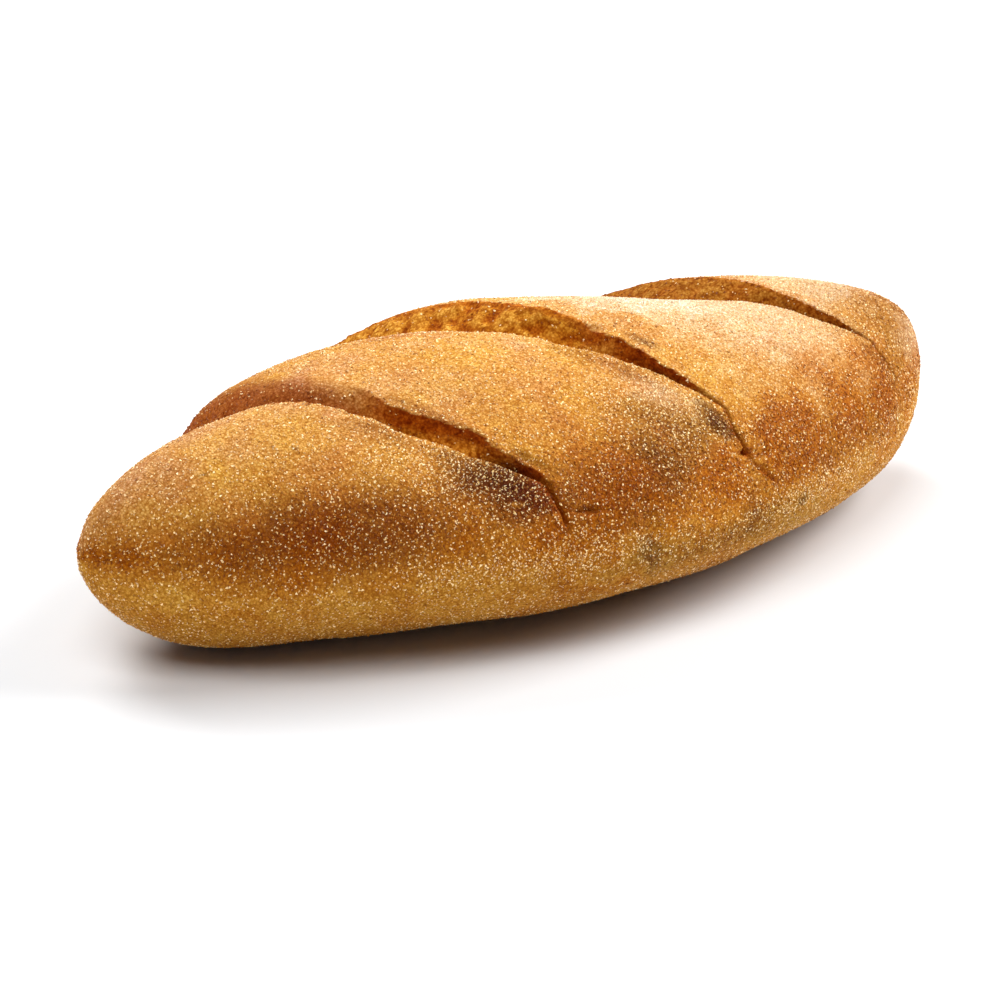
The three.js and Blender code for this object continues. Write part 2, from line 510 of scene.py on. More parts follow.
def mark(x: float, girth: float, long: float, wide: float, turn: float = 0) -> Mark:
    """A mark from millimetres and degrees; the turn goes from +X towards the front."""
    return Mark(x * MM, girth * MM, long * MM, wide * MM, math.radians(turn))


class Tone(Enum):
    """The colours of the crust and of the torn crumb in the cuts, some of them laid as painted
    light and shade.
    """

    GOLD = linear(218, 168, 74)
    AMBER = linear(186, 110, 16)
    TAN = linear(176, 118, 42)
    TOAST = linear(126, 54, 0)
    UMBER = linear(112, 70, 22)
    CHAR = linear(58, 10, 4)
    GREY = linear(90, 60, 38)
    FLOUR = linear(232, 216, 202)
    CRUMB = linear(178, 106, 20)
    PITH = linear(208, 144, 50)
    RUST = linear(142, 86, 26)
    # A deep orange-brown, laid for scorching and as painted shade in the cuts and creases.
    EMBER = linear(152, 66, 4)
    # A deep red-brown, laid as painted shade under the far lips and in the hollows of the cuts.
    GARNET = linear(106, 30, 2)
    # A golden crumb, laid as painted light on a ledge that faces up.
    APRICOT = linear(228, 148, 44)


@dataclass(frozen=True)
class Blush:
    """A mark in the crust's colour: most were left by the oven, the hands or the flour, and a few
    are painted light and shade.
    """

    tone: Tone
    mark: Mark
    strength: float


BLUSHES = (
    # The lobe at the low end: a band low on its front, darker partly from browning and partly as
    # painted shade, and its toasted edge by the cut.
    Blush(Tone.TOAST, mark(-57, 42, 32, 15, 3), 0.6),
    Blush(Tone.TOAST, mark(-58, 42, 25, 8, 5), 0.32),
    Blush(Tone.TOAST, mark(-43, 20, 15, 4.5, 51), 0.4),
    Blush(Tone.TOAST, mark(-31, 37, 14, 8, 50), 0.7),
    Blush(Tone.CHAR, mark(-30, 38, 10.5, 5.4, 50), 0.8),
    Blush(Tone.CHAR, mark(-26.5, 41, 6, 2.8, 50), 0.8),
    # A pale fleck in the char: a painted highlight on a flake of crust.
    Blush(Tone.PITH, mark(-28.3, 43, 1.2, 0.7), 0.8),
    Blush(Tone.CHAR, mark(-71, 17.7, 0.6, 0.5), 1.0),
    # The next lobe: browned beside the first cut, and greyish brown by the second and low down.
    Blush(Tone.TOAST, mark(-34, 20, 18, 2.8, 56), 0.5),
    Blush(Tone.UMBER, mark(4, 34, 14, 12, 35), 0.52),
    Blush(Tone.UMBER, mark(0, 42, 10, 6, 60), 0.5),
    Blush(Tone.FLOUR, mark(7, 27, 9, 5, 45), 0.25),
    Blush(Tone.TOAST, mark(4, 20, 13, 3.5, 55), 0.5),
    Blush(Tone.TOAST, mark(-14, 46, 18, 11, 10), 0.5),
    Blush(Tone.CHAR, mark(15.5, 36.5, 6, 2.8, 65), 0.75),
    Blush(Tone.GREY, mark(-6, 62, 11, 2.4, 80), 0.55),
    # The third lobe: floury on top, with smears by the cut and low on the front.
    Blush(Tone.FLOUR, mark(27, -4, 24, 19), 1.0),
    Blush(Tone.FLOUR, mark(40, 16, 30, 20, 30), 0.4),
    Blush(Tone.GREY, mark(11.5, 16.5, 4, 2, 60), 0.55),
    Blush(Tone.TOAST, mark(64, 33, 12, 3, 60), 0.35),
    Blush(Tone.TOAST, mark(17.6, 58, 9, 2.2, 86), 0.3),
    Blush(Tone.CHAR, mark(17, 66, 3.4, 1.6, 70), 0.3),
    Blush(Tone.GREY, mark(30.4, 62, 3.4, 1.8, 80), 0.55),
    Blush(Tone.GREY, mark(42, 58, 1.6, 1.1, 80), 0.5),
    # The lobe at the high end, the low front, and the side away from the camera.
    Blush(Tone.TAN, mark(78, 18, 24, 34), 0.6),
    Blush(Tone.UMBER, mark(78, 10, 28, 42), 0.32),
    Blush(Tone.UMBER, mark(44, 54, 36, 14), 0.22),
    Blush(Tone.UMBER, mark(12, 66, 36, 11), 0.4),
    Blush(Tone.FLOUR, mark(64, -4, 22, 24), 0.35),
    Blush(Tone.FLOUR, mark(84, 32, 10, 24), 0.2),
    Blush(Tone.TOAST, mark(-52, -44, 26, 9, -8), 0.45),
    Blush(Tone.UMBER, mark(2, -40, 18, 9, 20), 0.4),
    Blush(Tone.TOAST, mark(48, -46, 20, 8, -5), 0.4),
    Blush(Tone.FLOUR, mark(-20, -30, 16, 12, 20), 0.3),
)


# The same inside the cuts: a golden ledge of crumb, lighter as painted light where it faces up,
# pale crumb, and deep red-brown painted shade in the hollows, on the second cut's wall and under
# the far lips.
TORN_BLUSHES = (
    Blush(Tone.APRICOT, mark(-32.4, 26.6, 10, 1.7, 50), 0.9),
    Blush(Tone.GARNET, mark(-28.6, 26.8, 11, 1.5, 50), 0.55),
    Blush(Tone.GARNET, mark(-25, 37.5, 6, 2.5, 55), 0.8),
    Blush(Tone.PITH, mark(4, 14, 8, 2.2, 62), 0.7),
    Blush(Tone.EMBER, mark(0, -4, 4, 1.4, 60), 0.5),
    Blush(Tone.EMBER, mark(7, 10, 3, 1.6, 60), 0.7),
    Blush(Tone.EMBER, mark(11, 17, 4, 2, 60), 0.8),
    Blush(Tone.GARNET, mark(12, 24, 7, 1.8, 57), 0.45),
)


# Where more pale grains stick than elsewhere.
FLECKED = (
    mark(-36, 34, 20, 10, 48),
    mark(5, 30, 16, 12, 40),
    mark(-24, 58, 34, 9, 4),
    mark(34, 60, 30, 8, -4),
)


@dataclass(frozen=True)
class Dent:
    """A mark that is pressed in or, with a depth under 0, stands out; a crease is also darkened
    with painted shade.
    """

    mark: Mark
    depth: float
    crease_shade: float = 0.0


DENTS = (
    Dent(mark(-17, 47.3, 5.2, 0.9, 10), 0.8 * MM, 0.35),
    Dent(mark(-5.5, 58, 14, 2.6, 82), 0.5 * MM),
    Dent(mark(21.4, 45.3, 3.4, 0.8, 2), 0.5 * MM, 0.3),
    Dent(mark(21.5, 50.3, 5.4, 0.8, 56), 0.8 * MM, 0.7),
    Dent(mark(18.3, 44, 1.7, 1.3), 1.3 * MM, 1.0),
    Dent(mark(-28.5, 27, 4.5, 1.6, 60), -0.5 * MM),
    Dent(mark(-23, 35, 4.5, 1.3, 55), 0.8 * MM),
    Dent(mark(5.5, 10.5, 3.2, 2.0, 60), 1.0 * MM),
    Dent(mark(7, 15.5, 2.4, 1.4, 60), -0.6 * MM),
    Dent(mark(2, 2, 3.6, 2.2, 60), -0.5 * MM),
)


# ---- The crust ----


class Paint:
    """A colour for each place, built up from tones that are laid one over another."""

    def __init__(self, ground: Tone, shape: tuple[int, ...]) -> None:
        """Starts with one tone everywhere."""
        self.colour = np.ones(shape + (3,)) * np.array(ground.value)

    def lay(self, tone: Tone, share: Array) -> None:
        """Mixes a tone into the colour, by a share that is kept from 0 to 1."""
        share = np.clip(share, 0, 1)[..., None]
        self.colour = self.colour * (1 - share) + np.array(tone.value) * share


@dataclass(frozen=True)
class Mottling:
    """Three noises over the crust, from coarse to fine."""

    broad: Array
    patchy: Array
    mottled: Array


@dataclass(frozen=True)
class Browning:
    """How the crust's colour varies where no mark lies; pairs say where a tone fades in."""

    # The sizes of the noises.
    broad: float = 17 * MM
    patchy: float = 5.5 * MM
    mottled: float = 1.9 * MM
    # Amber nearly everywhere, with more of it on the flanks.
    amber: float = 0.42
    amber_on_flank: float = 0.35
    amber_broad: float = 0.3
    amber_patchy: float = 0.3
    amber_mottled: float = 0.15
    # Toasted patches.
    toasted: tuple[float, float] = (0.25, 0.95)
    toasted_patchy: float = 0.4
    toasted_share: float = 0.1
    # A browned belt along each flank.
    flank_at: float = 46 * MM
    flank_spread: float = 12 * MM
    flank_share: float = 0.25
    flank_broad: float = 0.25
    flank_patchy: float = 0.2
    # Flour on the top, and tan round the base.
    top_share: float = 0.12
    top_patchy: float = 0.8
    base: tuple[float, float] = (5 * MM, 17 * MM)
    base_share: float = 0.55
    base_patchy: float = 0.4
    # How the finest noise frays the edges of the marks and flecks their colour.
    edge_mottled: float = 0.6
    blush_mottled: float = 0.3

    def noises(self, smooth: Array) -> Mottling:
        """The three noises at points of the smooth loaf."""
        return Mottling(
            layered_noise(smooth, self.broad, Draw.BROAD),
            layered_noise(smooth, self.patchy, Draw.PATCHY),
            layered_noise(smooth, self.mottled, Draw.MOTTLED),
        )

    def bake(self, paint: Paint, girth: Array, height: Array, noise: Mottling) -> None:
        """Lays the crust's own tones.

        Args:
            paint: the colour of the crust so far.
            girth: the places round the loaf.
            height: how high the places are on the smooth loaf.
            noise: the three noises at the places.
        """
        broad, patchy = noise.broad, noise.patchy
        flank = np.exp(-(((np.abs(girth) - self.flank_at) / self.flank_spread) ** 2))
        amber = self.amber + self.amber_on_flank * flank + self.amber_broad * broad
        amber = amber + self.amber_patchy * patchy + self.amber_mottled * noise.mottled
        paint.lay(Tone.AMBER, amber)
        toasted = smooth_step(*self.toasted, broad + self.toasted_patchy * patchy)
        paint.lay(Tone.TOAST, toasted * self.toasted_share)
        uneven = 1 + self.flank_broad * broad + self.flank_patchy * patchy
        paint.lay(Tone.TOAST, self.flank_share * flank * uneven)
        above = smooth_step(self.flank_at, 0, np.abs(girth))
        paint.lay(Tone.FLOUR, self.top_share * above * (1 + self.top_patchy * patchy))
        low = 1 - smooth_step(*self.base, height)
        paint.lay(Tone.TAN, self.base_share * low * (1 + self.base_patchy * patchy))


@dataclass(frozen=True)
class CrumbTonesAndShade:
    """How the colour varies in a cut, with painted light and shade on its relief and walls; pairs
    say where a tone fades in.
    """

    # How the clumps and shreds add up, and how soon the crumb's colour begins above the floor.
    clump_share: float = 0.7
    shred_share: float = 0.5
    floor_fade: float = 0.1
    # Pale crumb on what stands out, which paints light on the raised clumps, and less of it high on
    # a torn wall.
    pith: tuple[float, float] = (0.0, 0.6)
    pith_more: float = 0.2
    pith_less_above: float = 0.8
    pith_share: float = 0.9
    # Painted shade: dark hollows in the torn crumb.
    hollow: tuple[float, float] = (-0.1, -0.5)
    hollow_shade_share: float = 0.7
    hollow_shade_less_baked: float = 0.6
    # Scorched and painted shade high on the wall, and over more of it where it is torn.
    scorch_and_shade_band: tuple[float, float] = (0.75, 0.97)
    scorch_and_shade_lower: tuple[float, float] = (0.35, 0.25)
    scorch_and_shade_torn: float = 0.25
    # A painted shadow: a deep red-brown rim under the far lip.
    rim: tuple[float, float] = (0.78, 0.95)
    rim_shadow_torn: float = 0.2
    rim_shadow_share: float = 0.4
    # Painted shade on the rolled shoulder of a crusted cut, darker towards the cut's floor, and the
    # crack at the front end.
    shoulder: tuple[float, float] = (1.0, 0.35)
    shoulder_shade_share: float = 0.8
    crack_share: float = 0.7


@dataclass(frozen=True)
class GrainCover:
    """How thickly the semolina lies; pairs say where a change starts and ends."""

    # None of it where the loaf rests, and less of it low down.
    lifted: tuple[float, float] = (0.5 * MM, 1.2 * MM)
    low: tuple[float, float] = (4 * MM, 14 * MM)
    low_least: float = 0.45
    low_gain: float = 0.55
    # Little of it in the cuts, and uneven all over.
    bare_share: float = 0.93
    shoulder_bare: float = 0.85
    patch_size: float = 6 * MM
    patchiness: float = 0.3
    # Crust is dark where its green is low, and bright where its blue comes near its red.
    dark: tuple[float, float] = (0.26, 0.06)
    bright: tuple[float, float] = (0.2, 0.42)
    least_red: float = 0.01
    # Pale grains gather on the flecked places, and along the near lips of open cuts, where they
    # paint the lips' highlight.
    fleck_share: float = 0.6
    lip_width: tuple[float, float] = (1.4 * MM, 0.2 * MM)
    lip_overlap: float = 0.5 * MM
    lip_depths: tuple[float, float] = (0.5, 2.0)


@dataclass
class Crust:
    """The whole outside of the loaf as one closed mesh, finer where the cuts are."""

    form: LoafForm = field(default_factory=LoafForm)
    browning: Browning = field(default_factory=Browning)
    crumb_tones_and_shade: CrumbTonesAndShade = field(default_factory=CrumbTonesAndShade)
    cover: GrainCover = field(default_factory=GrainCover)
    rows_on_lobe: tuple[int, ...] = (54, 62, 62, 54)
    rows_down: int = 6
    rows_up: int = 28
    tip_crowding: float = 1.7
    columns_above: int = 232
    columns_below: int = 56
    angle_above: float = math.radians(112)
    swell_size: float = 9 * MM
    swell_height: float = 0.22 * MM
    pebble_size: float = 1.1 * MM
    pebble_height: float = 0.07 * MM
    clump_size: float = 2.8 * MM
    clump_height: float = 0.75 * MM
    shred_size: float = 1.15 * MM
    shred_height: float = 0.42 * MM
    crumb_layers: int = 2
    rough_above_floor: float = 0.12
    rough_below_lip: float = 0.86
    dent_edge: float = 2.2 * MM

    def angles(self) -> Array:
        """The angles of the columns, closer together above than below."""
        above = np.linspace(-self.angle_above, self.angle_above, self.columns_above)
        round_again = 2 * math.pi - self.angle_above
        below = np.linspace(self.angle_above, round_again, self.columns_below + 2)
        return np.concatenate([above, below[1:-1]])

    def row_places(self, girth: Array) -> Array:
        """The x of every row in each column, so that rows lie along the cuts."""
        ends = []
        for cut in CUTS:
            middle = cut.line(girth, self.form)
            ends.append([middle + edge * cut.slant() for edge in cut.edges(girth)])
        start = np.full_like(girth, -self.form.length / 2)
        tip = np.full_like(girth, self.form.length / 2)
        pieces = []
        last = len(CUTS)
        for lobe, rows in enumerate(self.rows_on_lobe):
            share = np.arange(1, rows) / rows
            if lobe == 0:
                share = share**self.tip_crowding
            if lobe == last:
                share = 1 - (1 - share) ** self.tip_crowding
            stop = ends[lobe][0] if lobe < last else tip
            pieces.append(start[:, None] + (stop - start)[:, None] * share)
            if lobe == last:
                break
            near, floor, far = ends[lobe]
            down = np.arange(self.rows_down) / self.rows_down
            up = np.arange(self.rows_up + 1) / self.rows_up
            pieces.append(near[:, None] + (floor - near)[:, None] * down)
            pieces.append(floor[:, None] + (far - floor)[:, None] * up)
            start = far
        return np.concatenate(pieces, axis=1)

    def relief(self, x: Array, girth: Array, smooth: Array) -> Array:
        """How far the surface stands out of the smooth loaf at each place."""
        angle = girth / self.form.girth_radius
        s = np.clip(x / (self.form.length / 2), -1, 1)
        height = sum(wave.at(s, angle) for wave in WAVES)
        height += self.swell_height * lattice_noise(smooth, self.swell_size, Draw.SWELL)
        height += self.pebble_height * lattice_noise(smooth, self.pebble_size, Draw.PEBBLE)
        for cut in CUTS:
            place = cut.place(x, girth, self.form)
            height += cut.height(x, girth, self.form)
            rough = place.open_ * smooth_step(0, self.rough_above_floor, place.up)
            rough = rough * smooth_step(1, self.rough_below_lip, place.up)
            clumps = self.clump_height * self.clumps(cut, smooth)
            shreds = self.shred_height * self.shreds(cut, smooth)
            height += cut.torn * rough * (clumps + shreds)
        warp = layered_noise(smooth, self.dent_edge, Draw.DENT_EDGE)
        for dent in DENTS:
            height -= dent.depth * dent.mark.weight(x, girth, warp)
        return height

    def clumps(self, cut: Cut, smooth: Array) -> Array:
        """The lumps and hollows of the torn crumb, from -1 to 1."""
        return layered_noise(smooth, self.clump_size, Draw.CLUMP + cut.seed, self.crumb_layers)

    def shreds(self, cut: Cut, smooth: Array) -> Array:
        """The finer shreds of the torn crumb, from -1 to 1."""
        return layered_noise(smooth, self.shred_size, Draw.SHRED + cut.seed, self.crumb_layers)

    def tones(self, x: Array, girth: Array, smooth: Array) -> tuple[Array, Array]:
        """The colour of each place, and how much torn crumb it shows.

        Args:
            x: the place along the loaf.
            girth: the place round it.
            smooth: the same places as points of the smooth loaf.

        Returns:
            The colours, with red, green and blue in the last axis, and the share of crumb.
        """
        look = self.browning
        noise = look.noises(smooth)
        paint = Paint(Tone.GOLD, x.shape)
        look.bake(paint, girth, smooth[..., 2], noise)
        warp = noise.patchy + look.edge_mottled * noise.mottled
        for blush in BLUSHES:
            share = blush.strength * blush.mark.weight(x, girth, warp)
            paint.lay(blush.tone, share * (1 + look.blush_mottled * noise.mottled))
        crumb = np.zeros(x.shape)
        for cut in CUTS:
            crumb = np.maximum(crumb, self.tear(paint, cut, x, girth, smooth))
        for blush in TORN_BLUSHES:
            paint.lay(blush.tone, blush.strength * crumb * blush.mark.weight(x, girth, warp))
        # Painted shade in the creases.
        for dent in DENTS:
            paint.lay(Tone.EMBER, dent.crease_shade * dent.mark.weight(x, girth, warp))
        return paint.colour, crumb

    def tear(self, paint: Paint, cut: Cut, x: Array, girth: Array, smooth: Array) -> Array:
        """Lays the tones of one cut, from its torn crumb to its crack.

        Args:
            paint: the colour of the crust so far.
            cut: the cut.
            x: the places along the loaf.
            girth: the places round it.
            smooth: the same places as points of the smooth loaf.

        Returns:
            How much of the cut's torn crumb each place shows.
        """
        look = self.crumb_tones_and_shade
        place = cut.place(x, girth, self.form)
        torn = look.clump_share * self.clumps(cut, smooth)
        torn = torn + look.shred_share * self.shreds(cut, smooth)
        share = place.open_ * smooth_step(0, look.floor_fade, place.up)
        turned = cut.turned(girth)
        paint.lay(Tone.CRUMB, share)
        # Paler crumb on the raised clumps: painted light.
        pith_light = torn + look.pith_more - look.pith_less_above * turned * place.up
        paint.lay(Tone.PITH, share * smooth_step(*look.pith, pith_light) * look.pith_share)
        paint.lay(Tone.RUST, share * cut.baked)
        # Darker crumb in the hollows: painted shade.
        sunk = look.hollow_shade_share - look.hollow_shade_less_baked * cut.baked
        paint.lay(Tone.EMBER, share * sunk * smooth_step(*look.hollow, torn))
        # Scorching and painted shade high on the far wall and in the trench, and a painted shadow
        # under the far lip.
        scorch_and_shade = cut.scorch_and_shade[0] + (cut.scorch_and_shade[1] - cut.scorch_and_shade[0]) * turned
        scorch_and_shade_height = place.up + look.scorch_and_shade_torn * torn + smooth_step(*cut.trench, girth)
        starts = look.scorch_and_shade_band[0] - look.scorch_and_shade_lower[0] * turned
        ends = look.scorch_and_shade_band[1] - look.scorch_and_shade_lower[1] * turned
        paint.lay(Tone.EMBER, share * scorch_and_shade * smooth_step(starts, ends, scorch_and_shade_height))
        rim = smooth_step(*look.rim, place.up + look.rim_shadow_torn * torn)
        paint.lay(Tone.GARNET, look.rim_shadow_share * share * scorch_and_shade * rim * turned)
        # Painted shade on the rolled shoulder, darker towards the cut's floor.
        shoulder_shade = (place.seam - place.open_) * smooth_step(*look.shoulder, place.up)
        paint.lay(Tone.EMBER, np.clip(shoulder_shade, 0, 1) * look.shoulder_shade_share)
        cracked = place.seam * (1 - place.open_) * cut.seam_share(girth)
        paint.lay(Tone.TOAST, cracked * look.crack_share * cut.scorch_and_shade[1])
        return share

    def build(self) -> bpy.types.Object:
        """Makes the crust's mesh, with its colour, crumb and the places of the semolina.

        Returns:
            The crust as an object at the origin.
        """
        turn = self.signed(self.angles())
        places = self.row_places(self.form.girth_radius * turn)
        columns, rows = places.shape
        x = np.concatenate([places.ravel(), [-self.form.length / 2, self.form.length / 2]])
        turn = np.concatenate([np.repeat(turn, rows), [0, 0]])
        girth = self.form.girth_radius * turn
        smooth = self.form.point(x, turn)
        points = smooth + self.form.outward(x, turn) * self.relief(x, girth, smooth)[:, None]
        points[:, 2] = np.maximum(points[:, 2] - self.form.settle, 0)

        mesh = bpy.data.meshes.new("crust")
        mesh.from_pydata(points.tolist(), [], self.faces(columns, rows))
        mesh.shade_smooth()
        colour, crumb = self.tones(x, girth, smooth)
        self.store(mesh, "tone", np.column_stack([colour, np.ones(len(colour))]))
        self.store(mesh, "crumb", crumb)
        self.store_cover(mesh, points, smooth, self.bare(x, girth, crumb), colour)
        self.store(mesh, "lip", self.lips(x, girth))
        mesh.update()
        crust = bpy.data.objects.new("crust", mesh)
        bpy.context.scene.collection.objects.link(crust)
        return crust

    @staticmethod
    def faces(columns: int, rows: int) -> list:
        """The quads between the rows and columns, and a fan of triangles at each tip."""
        here = np.arange(columns)[:, None] * rows + np.arange(rows - 1)
        beside = np.roll(here, -1, axis=0)
        quads = np.stack([here, beside, beside + 1, here + 1], axis=-1).reshape(-1, 4)
        first = np.arange(columns) * rows
        after = np.roll(first, -1)
        tip_low, tip_high = columns * rows, columns * rows + 1
        fans = [(tip_low, int(b), int(a)) for a, b in zip(first, after)]
        fans += [(tip_high, int(a) + rows - 1, int(b) + rows - 1) for a, b in zip(first, after)]
        return quads.tolist() + fans

    def bare(self, x: Array, girth: Array, crumb: Array) -> Array:
        """How bare of semolina each place is, from 0 to 1: the cuts, the cracks and the creases."""
        bare = crumb.copy()
        for cut in CUTS:
            place = cut.place(x, girth, self.form)
            shoulder = self.cover.shoulder_bare * (place.seam - place.open_)
            bare += place.seam * cut.seam_share(girth) + shoulder
        bare += sum(dent.crease_shade * dent.mark.weight(x, girth, 0 * x) for dent in DENTS)
        return np.clip(bare, 0, 1)

    def lips(self, x: Array, girth: Array) -> Array:
        """Where pale grains gather, from 0 to 1: on flecked places, and on the cuts' near lips as a
        painted highlight.
        """
        look = self.cover
        shallow, deep = look.lip_depths
        close = np.zeros(x.shape)
        for fleck in FLECKED:
            close = np.maximum(close, look.fleck_share * fleck.weight(x, girth, 0 * x))
        for cut in CUTS:
            place = cut.place(x, girth, self.form)
            _, depth, _, _ = cut.measures(girth)
            opened = smooth_step(shallow * cut.bare_depth, deep * cut.bare_depth, depth)
            away = place.near - place.across
            rim = smooth_step(*look.lip_width, away) * smooth_step(-look.lip_overlap, 0, away)
            close = np.maximum(close, rim * opened)
        return close

    @staticmethod
    def signed(angle: Array) -> Array:
        """Angles from -180 to 180 degrees."""
        return (angle + math.pi) % (2 * math.pi) - math.pi

    @staticmethod
    def store(mesh: bpy.types.Mesh, name: str, values: Array) -> None:
        """Keeps one number or one colour for each of a mesh's points."""
        kind, key = ("FLOAT_COLOR", "color") if values.ndim > 1 else ("FLOAT", "value")
        attribute = mesh.attributes.new(name, kind, "POINT")
        attribute.data.foreach_set(key, values.astype(np.float32).ravel())

    def store_cover(
        self, mesh: bpy.types.Mesh, points: Array, smooth: Array, bare: Array, colour: Array
    ) -> None:
        """Keeps how thickly the semolina lies, and how dark and how bright the crust is.

        Args:
            mesh: the crust's mesh.
            points: its points.
            smooth: the same places on the smooth loaf.
            bare: how bare of semolina they are.
            colour: their colours.
        """
        look = self.cover
        lifted = smooth_step(*look.lifted, points[:, 2])
        below = look.low_least + look.low_gain * smooth_step(*look.low, points[:, 2])
        patchy = layered_noise(smooth, look.patch_size, Draw.COVER)
        cover = lifted * below * (1 - look.bare_share * bare) * (1 + look.patchiness * patchy)
        floury = colour[:, 2] / np.maximum(colour[:, 0], look.least_red)
        self.store(mesh, "cover", np.maximum(cover, 0))
        self.store(mesh, "dark", smooth_step(*look.dark, colour[:, 1]))
        self.store(mesh, "bright", smooth_step(*look.bright, floury))


# ---- Node trees ----

# The powers to which a shade is raised for red, green and blue.
WARMING = (0.7, 1.15, 2.1)

# How far apart the seeds of two kinds of grain are, which leaves room for each grain's draws.
STREAMS_APART = 10.0


class Tree:
    """A node tree with short ways to add nodes and to join them."""

    def __init__(self, tree: bpy.types.NodeTree) -> None:
        """Takes an empty tree."""
        self.tree = tree

    def add(self, kind: str, inputs: dict | None = None, **settings) -> bpy.types.Node:
        """Adds a node.

        Args:
            kind: the node's type.
            inputs: for each input, by name or number, a socket to join or a value to set.
            **settings: the node's own settings.

        Returns:
            The node.
        """
        node = self.tree.nodes.new(kind)
        for name, value in settings.items():
            setattr(node, name, value)
        for key, value in (inputs or {}).items():
            if isinstance(value, bpy.types.NodeSocket):
                self.tree.links.new(value, node.inputs[key])
            else:
                node.inputs[key].default_value = value
        return node

    def mix(self, share: object, first: object, second: object, blend: str = "MIX") -> object:
        """Mixes two colours and returns the socket of the result."""
        inputs = {0: share, 6: first, 7: second}
        node = self.add("ShaderNodeMix", inputs, data_type="RGBA", blend_type=blend)
        return node.outputs[2]

    def math(self, operation: str, first: object, second: object = 0.0) -> object:
        """One sum or other operation on two numbers; returns the socket of the result."""
        node = self.add("ShaderNodeMath", {0: first, 1: second}, operation=operation)
        return node.outputs[0]

    def between(self, value: object, low: float, high: float, start: float, end: float) -> object:
        """Maps a number's range on another one; returns the socket of the result."""
        inputs = {0: value, 1: low, 2: high, 3: start, 4: end}
        return self.add("ShaderNodeMapRange", inputs).outputs[0]

    def blend(self, share: object, first: object, second: object) -> object:
        """Mixes two numbers and returns the socket of the result."""
        inputs = {0: share, 2: first, 3: second}
        return self.add("ShaderNodeMix", inputs, data_type="FLOAT").outputs[0]

    def noise(self, place: object, scale: float, detail: float) -> object:
        """Adds a noise texture and returns the socket of its strength."""
        inputs = {"Vector": place, "Scale": scale, "Detail": detail}
        return self.add("ShaderNodeTexNoise", inputs).outputs["Fac"]

    def warm(self, light: object) -> object:
        """A shade that turns redder as it darkens, as baked crust does; returns its socket."""
        parts = {place: self.math("POWER", light, power) for place, power in enumerate(WARMING)}
        return self.add("ShaderNodeCombineXYZ", parts).outputs[0]

    def random(self, kind: str, low: object, high: object, seed: object, stream: int) -> object:
        """Adds a random value to a geometry tree.

        Args:
            kind: FLOAT or FLOAT_VECTOR.
            low: the lowest value.
            high: the highest value.
            seed: the seed's socket.
            stream: keeps the values of one grain apart from each other.

        Returns:
            The socket of the value.
        """
        inputs = {0: seed, 1: STREAMS_APART, 2: float(stream)}
        shifted = self.add("ShaderNodeMath", inputs, operation="MULTIPLY_ADD")
        first, result = (0, 0) if kind == "FLOAT_VECTOR" else (2, 1)
        inputs = {first: low, first + 1: high, "Seed": shifted.outputs[0]}
        return self.add("FunctionNodeRandomValue", inputs, data_type=kind).outputs[result]


def new_material(name: str) -> tuple[bpy.types.Material, Tree, bpy.types.Node]:
    """Makes an empty material.

    Args:
        name: its name.

    Returns:
        The material, its tree and the shader that the output is joined to.
    """
    material = bpy.data.materials.new(name)
    material.use_nodes = True
    material.node_tree.nodes.clear()
    tree = Tree(material.node_tree)
    shader = tree.add("ShaderNodeBsdfPrincipled")
    tree.add("ShaderNodeOutputMaterial", {"Surface": shader.outputs[0]})
    return material, tree, shader


def opaque(colour: Colour) -> tuple[float, float, float, float]:
    """A colour with full alpha, as a colour socket takes it."""
    return (*colour, 1.0)


